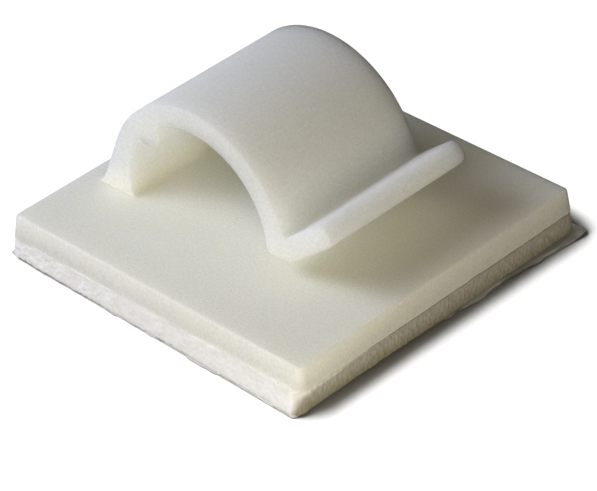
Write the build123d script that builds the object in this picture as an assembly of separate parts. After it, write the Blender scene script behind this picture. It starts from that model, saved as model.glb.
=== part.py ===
from build123d import *
import os
from math import asin, cos, degrees, radians, sin, sqrt, tan

# An adhesive cable clip: a square base plate, a round strip over it that holds
# the cable down, a foam pad under the plate and a release liner under the pad.
# Millimetres. Z is up and 0 is the underside of the liner. X runs across the
# channel from the fixed leg to the free lip, and Y runs along the cable.

# Base plate
plate_side = 25.4
plate_thickness = 1.65
plate_draft = 8.5
plate_corner_radius = 0.35
plate_rim_radius = 0.2

# Foam pad under the plate
pad_overhang = 0.05
pad_thickness = 1.25
pad_turn = -0.4
pad_corner_radius = 0.5

# Release liner under the pad
liner_overhang = 0.38
liner_thickness = 0.15
liner_turn = -1.5
liner_corner_radius = 0.3

# Strip over the cable
strip_width = 12.7
strip_thickness = 1.6
strip_edge_radius = 0.15
channel_radius = 6.1
channel_height = 1.3

# Leg that joins the strip to the plate
leg_margin = 1.65
leg_slope = 22
leg_outer_fillet = 1.0
leg_inner_fillet = 0.5

# Free end of the strip: the heel just above the plate and the lip beyond it
heel_gap = 1.2
heel_inner_radius = 0.4
heel_outer_radius = 1.2
crease_rise = 1.5
crease_radius = 0.3
lip_angle = 38.5
lip_length = 4.4

# Rib that runs along the inside of the arch
rib_radius = 1.0
rib_bearing = 133
rib_fillet = 0.4

plate_bottom_side = plate_side + 2 * plate_thickness * tan(radians(plate_draft))
pad_side = plate_bottom_side + 2 * pad_overhang
liner_side = pad_side + 2 * liner_overhang

pad_bottom = liner_thickness
plate_bottom = pad_bottom + pad_thickness
plate_top = plate_bottom + plate_thickness

strip_radius = channel_radius + strip_thickness
leg_bearing = 180 - leg_slope
centre_z = plate_top + channel_height
leg_reach = strip_radius / cos(radians(leg_slope)) + channel_height * tan(radians(leg_slope))
foot_x = -plate_side / 2 + leg_margin
centre_x = foot_x + leg_reach
heel_bottom = plate_top + heel_gap
crease_x = centre_x + sqrt(strip_radius**2 - crease_rise**2)
crease_z = centre_z + crease_rise
heel_drop = crease_z - heel_bottom
heel_corner_x = crease_x + strip_thickness / sin(radians(lip_angle)) - heel_drop / tan(radians(lip_angle))
root_depth = plate_thickness / 2


def on_circle(radius, bearing):
    """Point at a bearing in degrees on a circle about the middle of the channel."""
    angle = radians(bearing)
    return centre_x + radius * cos(angle), centre_z + radius * sin(angle)


def nearest_corner(profile, point):
    """The corner of a flat profile that lies closest to a point."""
    target = Vector(*point)
    return min(profile.vertices(), key=lambda corner: (Vector(*corner) - target).length)


def arch():
    """The upper half of the round strip."""
    ring = Circle(strip_radius) - Circle(channel_radius)
    upper = Rectangle(2 * strip_radius, strip_radius, align=(Align.CENTER, Align.MIN))
    return Pos(centre_x, centre_z) * (ring & upper)


def leg():
    """The fixed side of the strip, sloped outside and upright inside, with its root in the plate."""
    inner_x = centre_x - channel_radius
    root_z = plate_top - root_depth
    return make_face(
        Polyline(
            (inner_x + leg_inner_fillet, root_z),
            (inner_x + leg_inner_fillet, plate_top),
            (inner_x, plate_top),
            (inner_x, centre_z),
            on_circle(strip_radius, leg_bearing),
            (foot_x, plate_top),
            (foot_x - leg_outer_fillet, plate_top),
            (foot_x - leg_outer_fillet, root_z),
            close=True,
        )
    )


def heel_and_lip():
    """The free end of the strip: flat under the heel, then out and up to a round tip."""
    half = strip_thickness / 2
    run_in = heel_drop / sin(radians(lip_angle))
    bar = Rectangle(run_in + lip_length - half, strip_thickness, align=(Align.MIN, Align.MAX))
    tip = Pos(lip_length - half, -half) * Circle(half)
    lip = Pos(crease_x, crease_z) * Rot(0, 0, lip_angle) * (Pos(-run_in, 0) * bar + tip)
    heel = Pos(centre_x, heel_bottom) * Rectangle(strip_radius, heel_drop, align=(Align.MIN, Align.MIN))
    return lip + heel


def under_heel():
    """The space between the plate and the heel, open to the free side."""
    reach = 2 * strip_radius
    return Pos(centre_x, heel_bottom) * Rectangle(reach, reach, align=(Align.MIN, Align.MAX))


def strip_profile():
    """Cross-section of the leg, arch, rib, heel and lip, with its corners rounded."""
    channel = Pos(centre_x, centre_z) * Circle(channel_radius)
    rib = Pos(*on_circle(channel_radius, rib_bearing)) * Circle(rib_radius)
    profile = arch() + heel_and_lip() - under_heel() - channel + leg() + rib
    rib_spread = 2 * degrees(asin(rib_radius / (2 * channel_radius)))
    corners = [
        ((foot_x, plate_top), leg_outer_fillet),
        ((centre_x - channel_radius, plate_top), leg_inner_fillet),
        (on_circle(channel_radius, rib_bearing + rib_spread), rib_fillet),
        (on_circle(channel_radius, rib_bearing - rib_spread), rib_fillet),
        ((centre_x + channel_radius, heel_bottom), heel_inner_radius),
        ((heel_corner_x, heel_bottom), heel_outer_radius),
        ((crease_x, crease_z), crease_radius),
    ]
    for point, radius in corners:
        profile = fillet(nearest_corner(profile, point), radius)
    return profile


def plate():
    """Square base plate with drafted sides, rounded corners and a softened upper rim."""
    top = Pos(0, 0, plate_top) * RectangleRounded(plate_side, plate_side, plate_corner_radius)
    slab = extrude(top, amount=-plate_thickness, taper=-plate_draft)
    rim = slab.edges().group_by(Axis.Z)[-1]
    return fillet(rim, plate_rim_radius)


def strip():
    """The profile run along the cable, with its edges softened at both ends."""
    length = extrude(Plane.XZ * strip_profile(), amount=strip_width / 2, both=True)
    ends = length.edges().group_by(Axis.Y)
    return fillet(ends[0] + ends[-1], strip_edge_radius)


def layer(side, corner_radius, thickness, bottom, turn):
    """A flat square sheet turned a little about the middle of the plate."""
    outline = Rot(0, 0, turn) * RectangleRounded(side, side, corner_radius)
    return Pos(0, 0, bottom) * extrude(outline, amount=thickness)


def clip_body():
    return plate() + strip()


def foam_pad():
    return layer(pad_side, pad_corner_radius, pad_thickness, pad_bottom, pad_turn)


def release_liner():
    return layer(liner_side, liner_corner_radius, liner_thickness, 0, liner_turn)


os.makedirs("parts", exist_ok=True)
for node in (clip_body, foam_pad, release_liner):
    export_step(node(), f"parts/{node.__name__}.step")
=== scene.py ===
# %% [markdown]
# # Adhesive cable clip
# The real thing is a one-inch clip in natural nylon. It stands on a pad of
# double-sided foam tape, and the tape still has its release liner. The packed
# model gives all sizes, so this lesson only adds finishes and the soft layers.

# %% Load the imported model
from math import cos, radians, sin

import bmesh
import bpy
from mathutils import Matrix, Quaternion, Vector


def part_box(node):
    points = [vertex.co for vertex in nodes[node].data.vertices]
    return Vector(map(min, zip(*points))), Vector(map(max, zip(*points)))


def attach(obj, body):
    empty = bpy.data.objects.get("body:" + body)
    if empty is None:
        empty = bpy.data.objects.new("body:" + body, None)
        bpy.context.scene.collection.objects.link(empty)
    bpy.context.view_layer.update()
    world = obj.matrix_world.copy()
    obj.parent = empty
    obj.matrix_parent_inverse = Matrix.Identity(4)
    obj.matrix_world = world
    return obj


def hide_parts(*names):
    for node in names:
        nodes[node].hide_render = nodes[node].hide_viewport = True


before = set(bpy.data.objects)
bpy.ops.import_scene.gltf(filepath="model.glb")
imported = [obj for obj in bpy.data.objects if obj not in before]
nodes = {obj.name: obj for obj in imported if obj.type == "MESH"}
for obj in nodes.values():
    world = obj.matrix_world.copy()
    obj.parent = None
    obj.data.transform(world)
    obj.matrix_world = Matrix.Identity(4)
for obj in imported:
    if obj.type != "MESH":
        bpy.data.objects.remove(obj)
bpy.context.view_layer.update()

mm = 0.001
print("CAD nodes:", ", ".join(sorted(nodes)))

# %% [markdown]
# ## Camera
# A product photo of a small part is taken from a distance with a long lens, so
# that parallel edges stay nearly parallel. The camera could be dragged into
# place, but giving it an aim, a distance and two angles keeps each of them
# readable. The small roll is the tilt of the hand-held camera.

# %% Place the camera
def towards(azimuth, elevation):
    """The direction from the clip to a place at these angles in degrees, 0 being the front."""
    around, up = radians(azimuth), radians(elevation)
    return Vector((sin(around) * cos(up), -cos(around) * cos(up), sin(up)))


camera_aim = Vector((0.22, 0.22, -0.45)) * mm
camera_distance = 225.9 * mm
camera_azimuth, camera_elevation, camera_roll = 44.9, 35.3, -2.6
sensor_width, focal_length = 36.0, 208.8
clip_start, clip_end = 10 * mm, 10000 * mm

back = towards(camera_azimuth, camera_elevation)
upright = (-back).to_track_quat("-Z", "Y")
camera = bpy.data.objects.new("camera", bpy.data.cameras.new("camera"))
bpy.context.scene.collection.objects.link(camera)
bpy.context.scene.camera = camera
camera.location = camera_aim + back * camera_distance
camera.rotation_mode = "QUATERNION"
camera.rotation_quaternion = upright @ Quaternion((0, 0, 1), radians(camera_roll))
camera.data.sensor_width = sensor_width
camera.data.lens = focal_length
camera.data.clip_start = clip_start
camera.data.clip_end = clip_end
print("Camera at", [round(x / mm, 1) for x in camera.location], "mm")

# %% [markdown]
# ## Colours and nodes
# Colours are picked on a screen, in sRGB, while shaders work in linear light, so
# one function turns the first into the second. Another adds a node with its
# settings and what goes into its sockets. Both could be written out each time,
# but with them a material stays a list of steps from its pattern to its shader.

# %% Helpers for materials
def linear(hex_colour):
    """The linear RGBA of an sRGB colour written as #RRGGBB."""
    shares = [int(hex_colour[i:i + 2], 16) / 255 for i in (1, 3, 5)]
    return [s / 12.92 if s <= 0.04045 else ((s + 0.055) / 1.055) ** 2.4 for s in shares] + [1.0]


def feed(tree, node, sockets):
    """Give a node's sockets a link each, or a value that is the same all over."""
    for name, source in sockets.items():
        if isinstance(source, bpy.types.NodeSocket):
            tree.links.new(source, node.inputs[name])
        else:
            node.inputs[name].default_value = source


def add_node(tree, kind, sockets=None, **settings):
    """Add a node with its settings and sockets."""
    node = tree.nodes.new(kind)
    for name, value in settings.items():
        setattr(node, name, value)
    feed(tree, node, sockets or {})
    return node


def new_material(name):
    """An empty material with its tree, its Principled shader and its Object coordinates."""
    material = bpy.data.materials.new(name)
    material.use_nodes = True
    tree = material.node_tree
    coordinates = add_node(tree, "ShaderNodeTexCoord").outputs["Object"]
    print("Material:", name)
    return material, tree, tree.nodes["Principled BSDF"], coordinates

# %% [markdown]
# ## White card
# The clip stands on white card. White lamps could burn the card out to white,
# but they would burn out the nylon as well. So the card glows only where it is
# seen directly or mirrored, and the glow fades near the clip, on the side away
# from the light, where the soft contact shadow of the photo lies.

# %% What the eye sees directly or mirrored
def seen_directly(tree):
    """1 for rays from the camera and those that gloss or glass sends on, 0 for soft light."""
    path = add_node(tree, "ShaderNodeLightPath")
    seen = path.outputs["Is Camera Ray"]
    for kind in ("Is Glossy Ray", "Is Transmission Ray"):
        either = add_node(tree, "ShaderNodeMath", {
            0: seen, 1: path.outputs[kind],
        }, operation="MAXIMUM")
        seen = either.outputs[0]
    return seen

# %% Lay the white card
card_size = 3000 * mm
card_drop = 0.02 * mm
card_roughness = 0.9
shadow_reach = 2.2 * mm
shadow_lean = {"X": -0.60, "Y": -0.55, "Z": 0.58}
shadow_from, shadow_to = 0.575, 0.92

bpy.ops.object.select_all(action="DESELECT")
bpy.ops.mesh.primitive_plane_add(size=card_size, location=(0, 0, -card_drop))
card = bpy.context.active_object
card.name = "white_card"
card_material, tree, shader, _ = new_material("White card")
lean = add_node(tree, "ShaderNodeCombineXYZ", shadow_lean)
openness = add_node(tree, "ShaderNodeAmbientOcclusion", {
    "Normal": lean.outputs["Vector"], "Distance": shadow_reach,
})
clear = add_node(tree, "ShaderNodeMapRange", {
    "Value": openness.outputs["AO"], "From Min": shadow_from, "From Max": shadow_to,
}, interpolation_type="SMOOTHSTEP")
glow = add_node(tree, "ShaderNodeMath", {
    0: seen_directly(tree), 1: clear.outputs["Result"],
}, operation="MULTIPLY")
feed(tree, shader, {
    "Base Color": linear("#7A7874"), "Roughness": card_roughness,
    "Emission Color": linear("#FFFFFF"), "Emission Strength": glow.outputs[0],
})
card.data.materials.append(card_material)
print("Card:", card_size / mm, "mm square, contact shadow", shadow_reach / mm, "mm wide")

# %% [markdown]
# ## Room and lamps
# A window stands at the left, with pale sky above it and a reflector at the
# front right, and the room's own light is weak and warm. The real nylon also
# leads light through the plate to its front corner, which the shader loses, so
# a small lamp stands for that. A picture of a room could light the clip too, but
# each of these soft discs can be moved on its own.

# %% Light the room
room_strength = 0.05
white_strength = 1.0

world = bpy.data.worlds.new("room")
bpy.context.scene.world = world
world.use_nodes = True
tree = world.node_tree
background = tree.nodes["Background"]
feed(tree, background, {"Color": linear("#EFD9A0"), "Strength": room_strength})
white = add_node(tree, "ShaderNodeBackground", {
    "Color": linear("#FFFFFF"), "Strength": white_strength,
})
seen_or_felt = add_node(tree, "ShaderNodeMixShader", {
    "Fac": seen_directly(tree), 1: background.outputs[0], 2: white.outputs[0],
})
feed(tree, tree.nodes["World Output"], {"Surface": seen_or_felt.outputs[0]})
print("Room light:", room_strength)

# %% Place the lamps
# Each lamp has its azimuth and elevation in degrees, its distance and width in
# mm, its power in watts and its colour.
lamps = {
    "window_lamp": (-55, 34, 150, 80, 0.102, "#EAF2FF"),
    "sky_lamp": (-28, 44, 150, 80, 0.067, "#EDECFA"),
    "front_fill": (50, 17, 110, 60, 0.044, "#FFF7E0"),
    "corner_fill": (53, 9.5, 30, 10, 0.00045, "#FFF8E8"),
    "low_window": (-5, 15, 150, 120, 0.013, "#FFFCF8"),
}
for name, (azimuth, elevation, distance, width, power, colour) in lamps.items():
    lamp = bpy.data.objects.new(name, bpy.data.lights.new(name, "AREA"))
    bpy.context.scene.collection.objects.link(lamp)
    lamp.data.shape = "DISK"
    lamp.data.size = width * mm
    lamp.data.energy = power
    lamp.data.color = linear(colour)[:3]
    lamp.location = towards(azimuth, elevation) * distance * mm
    lamp.rotation_mode = "QUATERNION"
    lamp.rotation_quaternion = towards(azimuth, elevation).to_track_quat("Z", "Y")
    print(name, "is", distance, "mm away and gives", power, "W")
bpy.context.scene.view_settings.view_transform = "Standard"

# %% [markdown]
# ## Natural nylon, moulded
# The clip is uncoloured nylon 6/6 from a mould with a fine matt finish. The
# plastic is milky: light goes in, scatters and comes out a few millimetres
# away, so edges are soft and shadows turn warm and a little green. A glassy
# shader with a volume could do this too, but subsurface scattering gives it with
# far less noise. The strip is thin and lit from both sides, so light goes deeper
# there than in the plate and less blue is lost; for this the strip is also
# painted a whiter tint than the plate: painted light. The white foam behind the
# plate's lowest half millimetre throws light back, so less of it is lost there.

# %% Tint of the nylon
cloud_size = 5.0 * mm
# The real grain is about 0.05 mm, too fine to show, so it is drawn coarser.
grain_size = 0.16 * mm
strip_from, strip_to = 3.0 * mm, 6.0 * mm
speck_from, speck_to, darkest_speck = 0.3, 0.7, 0.87

nylon, tree, shader, place = new_material("Nylon natural moulded")
clouds = add_node(tree, "ShaderNodeTexNoise", {
    "Vector": place, "Scale": 1 / cloud_size, "Detail": 3.0, "Roughness": 0.5,
})
grain = add_node(tree, "ShaderNodeTexNoise", {
    "Vector": place, "Scale": 1 / grain_size, "Detail": 2.0, "Roughness": 0.6,
})
height = add_node(tree, "ShaderNodeSeparateXYZ", {"Vector": place})
in_strip = add_node(tree, "ShaderNodeMapRange", {
    "Value": height.outputs["Z"], "From Min": strip_from, "From Max": strip_to,
}, interpolation_type="SMOOTHSTEP")
plate_tint = add_node(tree, "ShaderNodeMix", {
    "Factor": clouds.outputs["Fac"], "A": linear("#FDFBF5"), "B": linear("#F9F7E6"),
}, data_type="RGBA")
# The strip's whiter tint stands in for the light that passes through it: painted light.
tint = add_node(tree, "ShaderNodeMix", {
    "Factor": in_strip.outputs["Result"],
    "A": plate_tint.outputs["Result"], "B": linear("#FAFDF5"),
}, data_type="RGBA")
specks = add_node(tree, "ShaderNodeMapRange", {
    "Value": grain.outputs["Fac"], "From Min": speck_from, "From Max": speck_to,
    "To Min": darkest_speck,
})
specked = add_node(tree, "ShaderNodeMix", {
    "Factor": 1.0, "A": tint.outputs["Result"], "B": specks.outputs["Result"],
}, data_type="RGBA", blend_type="MULTIPLY")
feed(tree, shader, {"Base Color": specked.outputs["Result"]})
print("Grain of", round(grain_size / mm, 2), "mm and clouds of", round(cloud_size / mm, 2), "mm")

# %% [markdown]
# ## Skin and depth of the nylon
# The matt skin spreads every highlight into a faint sheen, and its grain is felt
# more than seen. The plate and the strip could have two materials, but they are
# one moulding, so the depth of light changes with height instead.

# %% Skin and depth of the nylon
least_rough, most_rough = 0.78, 0.92
grain_strength, grain_depth = 0.5, 0.03 * mm
nylon_ior, nylon_specular = 1.53, 0.25
plate_depth, strip_depth = 1.4 * mm, 5.5 * mm
backed_rise, backed_share = 0.5 * mm, 0.1

plate_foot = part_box("clip_body")[0].z
bump = add_node(tree, "ShaderNodeBump", {
    "Height": grain.outputs["Fac"], "Strength": grain_strength, "Distance": grain_depth,
})
roughness = add_node(tree, "ShaderNodeMapRange", {
    "Value": grain.outputs["Fac"], "To Min": least_rough, "To Max": most_rough,
})
weight = add_node(tree, "ShaderNodeMapRange", {
    "Value": height.outputs["Z"],
    "From Min": plate_foot, "From Max": plate_foot + backed_rise, "To Min": backed_share,
}, interpolation_type="SMOOTHSTEP")
depth = add_node(tree, "ShaderNodeMapRange", {
    "Value": in_strip.outputs["Result"], "To Min": plate_depth, "To Max": strip_depth,
})
feed(tree, shader, {
    "Roughness": roughness.outputs["Result"], "Normal": bump.outputs["Normal"],
    "IOR": nylon_ior, "Specular IOR Level": nylon_specular,
    "Subsurface Weight": weight.outputs["Result"],
    "Subsurface Radius": (1.0, 0.95, 0.84),
    "Subsurface Scale": depth.outputs["Result"],
})
clip_body = nodes["clip_body"]
clip_body.data.materials.clear()
clip_body.data.materials.append(nylon)
print("clip_body has", len(clip_body.data.polygons), "faces")

# %% [markdown]
# ## Working on a selection
# Modelling by hand is mostly choosing faces or edges and then using one tool on
# them. With a mouse they are clicked, and in a script they are chosen by where
# they lie, so one helper selects by a test, another pushes a surface in and out
# with a procedural texture, and a third drags a point and what lies around it.

# %% Helpers for modelling
def select(obj, kind, test):
    """In edit mode, select only the verts, edges or faces that pass the test."""
    bpy.ops.mesh.select_mode(type=kind)
    bpy.ops.mesh.select_all(action="DESELECT")
    shape = bmesh.from_edit_mesh(obj.data)
    for part in {"VERT": shape.verts, "EDGE": shape.edges, "FACE": shape.faces}[kind]:
        if test(part):
            part.select_set(True)
    bmesh.update_edit_mesh(obj.data)


def displace(obj, name, kind, size, depth, direction="NORMAL", middle=0.5, group=""):
    """Push a mesh in and out by a texture with features of this size, and apply it."""
    texture = bpy.data.textures.new(name, kind)
    texture.noise_scale = size
    modifier = obj.modifiers.new(name, "DISPLACE")
    modifier.texture = texture
    modifier.texture_coords = "LOCAL"
    modifier.direction = direction
    modifier.strength = depth
    modifier.mid_level = middle
    modifier.vertex_group = group
    bpy.ops.object.modifier_apply(modifier=name)


def group_by(obj, name, test):
    """A vertex group of the vertices whose place passes the test."""
    members = [v.index for v in obj.data.vertices if test(v.co)]
    obj.vertex_groups.new(name=name).add(members, 1.0, "REPLACE")
    return len(members)


same_place = 0.05 * mm


def pull(obj, near, reach, move):
    """In edit mode, drag the point nearest to a place, and softly what lies within reach, in mm."""
    near = Vector(near) * mm
    closest = min((v.co - near).length for v in bmesh.from_edit_mesh(obj.data).verts)
    select(obj, "VERT", lambda v: (v.co - near).length < closest + same_place)
    bpy.ops.transform.translate(value=Vector(move) * mm, use_proportional_edit=True,
                                proportional_edit_falloff="SMOOTH", proportional_size=reach * mm)


corner_segments = 6
fine_pieces = 3


def rounded_square(name, node, corner, turn, height, spacing):
    """A flat turned outline as wide as the node, cut in short pieces and left in edit mode."""
    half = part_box(node)[1].x
    side = 2 * ((half - corner) / (cos(abs(turn)) + sin(abs(turn))) + corner)
    bpy.ops.object.select_all(action="DESELECT")
    bpy.ops.mesh.primitive_plane_add(size=side, location=(0, 0, height), rotation=(0, 0, turn))
    outline = bpy.context.active_object
    outline.name = name
    bpy.ops.object.transform_apply(location=True, rotation=True, scale=True)
    bpy.ops.object.mode_set(mode="EDIT")
    bpy.ops.mesh.select_all(action="SELECT")
    bpy.ops.mesh.bevel(offset=corner, segments=corner_segments, affect="VERTICES")
    select(outline, "EDGE", lambda edge: edge.calc_length() > side / 2)
    coarse_pieces = round((side - 2 * corner) / spacing / fine_pieces)
    for pieces in (coarse_pieces, fine_pieces):
        bpy.ops.mesh.subdivide(number_cuts=pieces - 1)
    print(f"{name}: {side / mm:.2f} mm square")
    return outline

# %% [markdown]
# ## Foam pad
# The pad is double-sided tape, a soft white foam sliced to the size of the
# plate. The knife tears cells open, so its cut side is wavy and pitted, it is
# squeezed out a little under the plate, and a rubbed corner is soft. A box with
# a bump would keep straight edges, so the cut side is a band of small faces
# that Displace modifiers push in and out, closed above and below afterwards.

# %% Slice the foam pad
pad_turn = radians(-0.4)
pad_corner = 1.0 * mm
cut_spacing = 0.085 * mm
seat_gap = 0.01 * mm

pad_low, pad_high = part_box("foam_pad")
pad_height = pad_high.z - pad_low.z
pad_rows = round(pad_height / cut_spacing)
row_height = (pad_height - 2 * seat_gap) / pad_rows
pad_foot = pad_low.z + seat_gap
pad = rounded_square("foam_tape_pad", "foam_pad", pad_corner, pad_turn, pad_foot, cut_spacing)
bpy.ops.mesh.delete(type="ONLY_FACE")
bpy.ops.mesh.select_all(action="SELECT")
for row in range(pad_rows):
    bpy.ops.mesh.extrude_region_move(TRANSFORM_OT_translate={"value": (0, 0, row_height)})
bpy.ops.mesh.select_all(action="SELECT")
bpy.ops.mesh.normals_make_consistent(inside=False)
bpy.ops.object.mode_set(mode="OBJECT")
print("Pad side:", len(pad.data.polygons), "faces in", pad_rows, "rows")

# %% [markdown]
# ## The foot of the pad
# The clip was pressed down and the soft foam crept outwards at its foot, most at
# the front. Its corners could be dragged one by one, but a lattice around the
# pad moves the whole side evenly with them.

# %% Spread the foot of the pad
# For each corner, as the signs of its X and Y: how far its foot moves, in mm.
foot_corners = {
    (-1, -1): (-0.10, -0.42),
    (1, -1): (0.36, -0.84),
    (1, 1): (0.34, 0.20),
    (-1, 1): (-0.10, 0.25),
}
bpy.ops.object.select_all(action="DESELECT")
bpy.ops.object.add(type="LATTICE", location=(pad_low + pad_high) / 2)
cage = bpy.context.active_object
cage.scale = pad_high - pad_low
for point in cage.data.points:
    if point.co.z < 0:
        shift = foot_corners[(round(2 * point.co.x), round(2 * point.co.y))]
        point.co_deform.x += shift[0] * mm / cage.scale.x
        point.co_deform.y += shift[1] * mm / cage.scale.y
bpy.context.view_layer.objects.active = pad
spread = pad.modifiers.new("spread foot", "LATTICE")
spread.object = cage
bpy.ops.object.modifier_apply(modifier=spread.name)
bpy.data.objects.remove(cage)
furthest = [max(v.co[axis] for v in pad.data.vertices) for axis in (0, 1)]
print("Foot of the pad reaches", [round(x / mm, 2) for x in furthest], "mm")

# %% [markdown]
# ## The cut side of the pad
# A knife wanders a little, tears the foam's cells open and leaves pores, and the
# plate squeezes the upper rim unevenly. All of these could be sculpted, but
# textures of the right size give each kind of unevenness in one step.

# %% Tear and squeeze the cut side
# Each kind has its texture, the size of its features and their depth in mm, and
# the grey of the texture that stays where it is.
cut_kinds = {
    "slow knife wander": ("CLOUDS", 3.5, 0.12, 0.5),
    "torn cells": ("CLOUDS", 0.7, 0.10, 0.5),
    "open pores": ("VORONOI", 0.3, 0.08, 0.6),
}
for name, (kind, size, depth, middle) in cut_kinds.items():
    displace(pad, name, kind, size * mm, depth * mm, middle=middle)

rim_size, rim_squeeze, rim_middle = 0.9 * mm, 0.16 * mm, 0.4
rim_height = pad_high.z - seat_gap - row_height / 2
rim_points = group_by(pad, "squeezed rim", lambda co: co.z > rim_height)
displace(pad, "squeezed rim", "CLOUDS", rim_size, rim_squeeze, "Z", rim_middle, "squeezed rim")
print("Squeezed rim:", rim_points, "points")

# %% [markdown]
# ## The pad's two faces
# The faces under the plate and on the liner are hidden, flat and sticky. They
# could be filled flush with the cut side, but a narrow step inwards first keeps
# the torn edge free of long thin faces. The rubbed front corner is pulled out.

# %% Close the pad above and below
under_plate, above_liner = 0.99, 0.993
pad_smooth_angle = radians(50)

pad_middle = (pad_low.z + pad_high.z) / 2
bpy.ops.object.mode_set(mode="EDIT")
pull(pad, near=(13.1, -13.3, 0.2), reach=1.0, move=(0.18, -0.18, 0.0))
for keep, end in ((under_plate, pad_high.z - seat_gap), (above_liner, pad_foot)):
    above = end > pad_middle
    select(pad, "EDGE", lambda e: e.is_boundary and (e.verts[0].co.z > pad_middle) == above)
    bpy.ops.mesh.extrude_region_move()
    bpy.ops.transform.resize(value=(keep, keep, 0), center_override=(0, 0, end))
    bpy.ops.mesh.edge_face_add()
bpy.ops.mesh.select_all(action="SELECT")
bpy.ops.mesh.normals_make_consistent(inside=False)
bpy.ops.object.mode_set(mode="OBJECT")
bpy.ops.object.shade_smooth_by_angle(angle=pad_smooth_angle)
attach(pad, "root")
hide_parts("foam_pad")
print("Foam pad:", len(pad.data.polygons), "faces")

# %% [markdown]
# ## White foam, sliced
# Tape foam is white polyethylene with closed cells. Sliced, it looks chalky and
# pitted: no shine at all, small pale blotches, and here and there a dark speck
# of dust. An even white would do from afar, but the torn cells catch the light,
# so the pattern of cells also gives the bump.

# %% Patterns in the foam
blotch_size = 1.1 * mm
# The real cells are 0.1 mm to 0.2 mm wide, and are drawn a little coarser.
cell_size = 0.24 * mm
dust_spacing = 1.6 * mm

foam, tree, shader, place = new_material("Polyethylene foam white sliced")
blotches = add_node(tree, "ShaderNodeTexNoise", {
    "Vector": place, "Scale": 1 / blotch_size, "Detail": 4.0, "Roughness": 0.65,
})
cells = add_node(tree, "ShaderNodeTexVoronoi", {"Vector": place, "Scale": 1 / cell_size})
dust = add_node(tree, "ShaderNodeTexVoronoi", {"Vector": place, "Scale": 1 / dust_spacing})
print("Foam cells of", round(cell_size / mm, 2), "mm")

# %% Blotches, painted shade in the pits, and dust
blotch_from, blotch_to = 0.35, 0.65
# The open cells are painted a little darker at their middles: painted shade in the pits.
pit_from, pit_to, darkest_pit_shade = 0.05, 0.5, 0.95
dust_from, dust_to, darkest_dust = 0.025, 0.06, 0.7

paler = add_node(tree, "ShaderNodeMapRange", {
    "Value": blotches.outputs["Fac"], "From Min": blotch_from, "From Max": blotch_to,
})
foam_colour = add_node(tree, "ShaderNodeMix", {
    "Factor": paler.outputs["Result"], "A": linear("#F1EFEA"), "B": linear("#FCFBF9"),
}, data_type="RGBA")
for spots, start, end, darkest in (
    (cells, pit_from, pit_to, darkest_pit_shade), (dust, dust_from, dust_to, darkest_dust),
):
    shade = add_node(tree, "ShaderNodeMapRange", {
        "Value": spots.outputs["Distance"], "From Min": start, "From Max": end,
        "To Min": darkest,
    })
    foam_colour = add_node(tree, "ShaderNodeMix", {
        "Factor": 1.0, "A": foam_colour.outputs["Result"], "B": shade.outputs["Result"],
    }, data_type="RGBA", blend_type="MULTIPLY")
print("Dust about every", round(dust_spacing / mm, 2), "mm")

# %% Chalky skin of the foam
foam_roughness, foam_scatter, foam_light_depth = 0.9, 0.4, 0.5 * mm
cell_strength, cell_depth = 0.3, 0.04 * mm

bump = add_node(tree, "ShaderNodeBump", {
    "Height": cells.outputs["Distance"], "Strength": cell_strength, "Distance": cell_depth,
})
feed(tree, shader, {
    "Roughness": foam_roughness, "Normal": bump.outputs["Normal"],
    "Subsurface Weight": foam_scatter,
    "Subsurface Radius": (1.0, 0.95, 0.9),
    "Subsurface Scale": foam_light_depth,
})
pad.data.materials.append(foam)
print("Light goes", round(foam_light_depth / mm, 2), "mm into the foam")

# %% [markdown]
# ## Painted shade on the foam
# The side at the right faces away from the lamps and is painted darker:
# painted shade, darkest at its foot, while a rim near the front corner, where
# light wraps round, stays light. The shade could be painted on by hand, but
# ramps along X, Y and Z put it in its place.

# %% Paint shade on the side away from the lamps
shaded_side_from, shaded_side_to = 12.6 * mm, 13.0 * mm
lit_corner_from, lit_corner_to, lit_corner_height = -12.8 * mm, -6.0 * mm, 0.45 * mm
rim_fade = 0.3 * mm
shade_fade_height = 0.8 * mm

sides = add_node(tree, "ShaderNodeSeparateXYZ", {"Vector": place}).outputs
shaded_side = add_node(tree, "ShaderNodeMapRange", {
    "Value": sides["X"], "From Min": shaded_side_from, "From Max": shaded_side_to,
})
lit_corner_rise = add_node(tree, "ShaderNodeMapRange", {
    "Value": sides["Y"], "From Min": lit_corner_from, "From Max": lit_corner_to,
    "To Min": lit_corner_height, "To Max": 0.0,
})
level = add_node(tree, "ShaderNodeMath", {
    0: sides["Z"], 1: lit_corner_rise.outputs["Result"],
}, operation="ADD")
below_rim = add_node(tree, "ShaderNodeMapRange", {
    "Value": level.outputs[0], "From Min": pad_high.z, "From Max": pad_high.z + rim_fade,
    "To Min": 1.0, "To Max": 0.0,
})
painted_shade_share = add_node(tree, "ShaderNodeMath", {
    0: shaded_side.outputs["Result"], 1: below_rim.outputs["Result"],
}, operation="MULTIPLY")
risen = add_node(tree, "ShaderNodeMapRange", {
    "Value": sides["Z"], "From Min": pad_low.z, "From Max": pad_low.z + shade_fade_height,
})
# Painted shade: darker towards the foot of the side away from the lamps.
painted_shade_tint = add_node(tree, "ShaderNodeMix", {
    "Factor": risen.outputs["Result"], "A": linear("#8F8970"), "B": linear("#BDB8B0"),
}, data_type="RGBA")
colour = add_node(tree, "ShaderNodeMix", {
    "Factor": painted_shade_share.outputs[0], "A": foam_colour.outputs["Result"], "B": painted_shade_tint.outputs["Result"],
}, data_type="RGBA", blend_type="MULTIPLY")
feed(tree, shader, {"Base Color": colour.outputs["Result"]})
print("Painted shade fades over", round(shade_fade_height / mm, 2), "mm")

# %% [markdown]
# ## Release liner
# The liner is a coated paper a little larger than the pad, and it lies a degree
# or two askew, so it shows as a thin edge on two sides and as a small flap at
# one corner. A thin box would be too straight, so it is drawn as a flat outline
# with a few rings of faces near its edge, which is then pulled out of shape.

# %% Cut the liner
liner_turn = radians(-1.5)
liner_corner = 0.3 * mm
liner_spacing = 0.3 * mm
liner_rings, ring_scale = 4, 0.985
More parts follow.
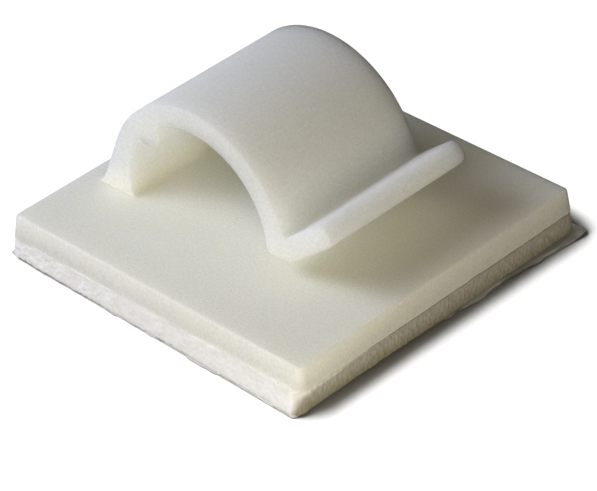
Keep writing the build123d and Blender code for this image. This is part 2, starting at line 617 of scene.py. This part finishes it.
# Each pull has the place where it takes hold, its reach and its move, in mm.
liner_pulls = {
    "far corner slid out": ((13.7, 13.1, 0.0), 8.0, (0.35, 0.0, 0.0)),
    "left corner cut short": ((-13.7, -13.1, 0.0), 4.0, (0.55, 0.05, 0.0)),
    "right edge cut hollow": ((13.2, -4.0, 0.0), 9.0, (-0.25, 0.0, 0.0)),
    "tip of the flap lifted": ((14.0, 13.1, 0.0), 1.2, (0.0, 0.0, 0.25)),
}

liner_low, liner_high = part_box("release_liner")
liner = rounded_square("liner_sheet", "release_liner", liner_corner, liner_turn,
                       liner_low.z, liner_spacing)
bpy.ops.mesh.select_all(action="SELECT")
for ring in range(liner_rings):
    bpy.ops.mesh.extrude_region_move()
    bpy.ops.transform.resize(value=(ring_scale, ring_scale, 1), center_override=(0, 0, liner_low.z))
for near, reach, move in liner_pulls.values():
    pull(liner, near, reach, move)
bpy.ops.object.mode_set(mode="OBJECT")
print("Liner pulls:", ", ".join(liner_pulls))

# %% [markdown]
# ## Edge and thickness of the liner
# The free edge of a peeled and cut liner is never quite flat. It could be bent
# with more pulls, but a slow texture curls it everywhere a little. The sheet
# gets its thickness last, so that both faces follow the same curl.

# %% Curl and thicken the liner
free_width = 0.75 * mm
curl_size, curl_height, curl_middle = 4.0 * mm, 0.03 * mm, 0.3
liner_smooth_angle = radians(40)

free_from = liner_high.x - free_width
edge_points = group_by(liner, "free edge", lambda co: max(abs(co.x), abs(co.y)) > free_from)
displace(liner, "free edge curl", "CLOUDS", curl_size, curl_height, "Z", curl_middle, "free edge")
sheet = liner.modifiers.new("paper thickness", "SOLIDIFY")
sheet.thickness = liner_high.z - liner_low.z - seat_gap
sheet.offset = 1.0
bpy.ops.object.modifier_apply(modifier=sheet.name)
bpy.ops.object.shade_smooth_by_angle(angle=liner_smooth_angle)
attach(liner, "root")
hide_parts("release_liner")
print("Liner:", len(liner.data.polygons), "faces, free edge", edge_points, "points")

# %% [markdown]
# ## Coated paper
# A release liner is pale kraft paper with a thin silicone coat. The coat gives
# the flat face a weak sheen over cloudy fibres, and the cut edge is bare and
# matt. The edge that sticks out at the right lies on the side away from the
# lamps and is painted greyer: painted shade. An even grey would do from afar,
# but the flap at the corner is seen close up.

# %% Colour of the paper
# Real fibres are about 0.03 mm wide, so their clouds are drawn instead.
fibre_size = 0.5 * mm
edge_from, edge_to = 0.3, 0.8
# The liner at the right, away from the lamps, is painted greyer: painted shade.
shaded_edge_from, shaded_edge_to = 12.9 * mm, 13.2 * mm

paper, tree, shader, place = new_material("Silicone paper coated")
fibres = add_node(tree, "ShaderNodeTexNoise", {
    "Vector": place, "Scale": 1 / fibre_size,
    "Detail": 4.0, "Roughness": 0.7, "Distortion": 0.6,
})
normal = add_node(tree, "ShaderNodeSeparateXYZ", {
    "Vector": tree.nodes["Texture Coordinate"].outputs["Normal"],
})
facing = add_node(tree, "ShaderNodeMath", {0: normal.outputs["Z"]}, operation="ABSOLUTE")
flat = add_node(tree, "ShaderNodeMapRange", {
    "Value": facing.outputs[0], "From Min": edge_from, "From Max": edge_to,
})
face_tint = add_node(tree, "ShaderNodeMix", {
    "Factor": fibres.outputs["Fac"], "A": linear("#CFCDC8"), "B": linear("#DCDAD5"),
}, data_type="RGBA")
tint = add_node(tree, "ShaderNodeMix", {
    "Factor": flat.outputs["Result"], "A": linear("#D2CFC8"), "B": face_tint.outputs["Result"],
}, data_type="RGBA")
across = add_node(tree, "ShaderNodeSeparateXYZ", {"Vector": place})
shaded_edge = add_node(tree, "ShaderNodeMapRange", {
    "Value": across.outputs["X"], "From Min": shaded_edge_from, "From Max": shaded_edge_to,
})
colour = add_node(tree, "ShaderNodeMix", {
    "Factor": shaded_edge.outputs["Result"], "A": tint.outputs["Result"], "B": linear("#B4B3B6"),
}, data_type="RGBA", blend_type="MULTIPLY")
feed(tree, shader, {"Base Color": colour.outputs["Result"]})
print("Paper clouds of", round(fibre_size / mm, 2), "mm")

# %% Sheen of the paper
least_rough, most_rough = 0.38, 0.55
fibre_strength, fibre_depth = 0.2, 0.02 * mm

bump = add_node(tree, "ShaderNodeBump", {
    "Height": fibres.outputs["Fac"], "Strength": fibre_strength, "Distance": fibre_depth,
})
roughness = add_node(tree, "ShaderNodeMapRange", {
    "Value": fibres.outputs["Fac"], "To Min": least_rough, "To Max": most_rough,
})
feed(tree, shader, {
    "Roughness": roughness.outputs["Result"], "Normal": bump.outputs["Normal"],
})
liner.data.materials.append(paper)
print("Paper roughness from", least_rough, "to", most_rough)
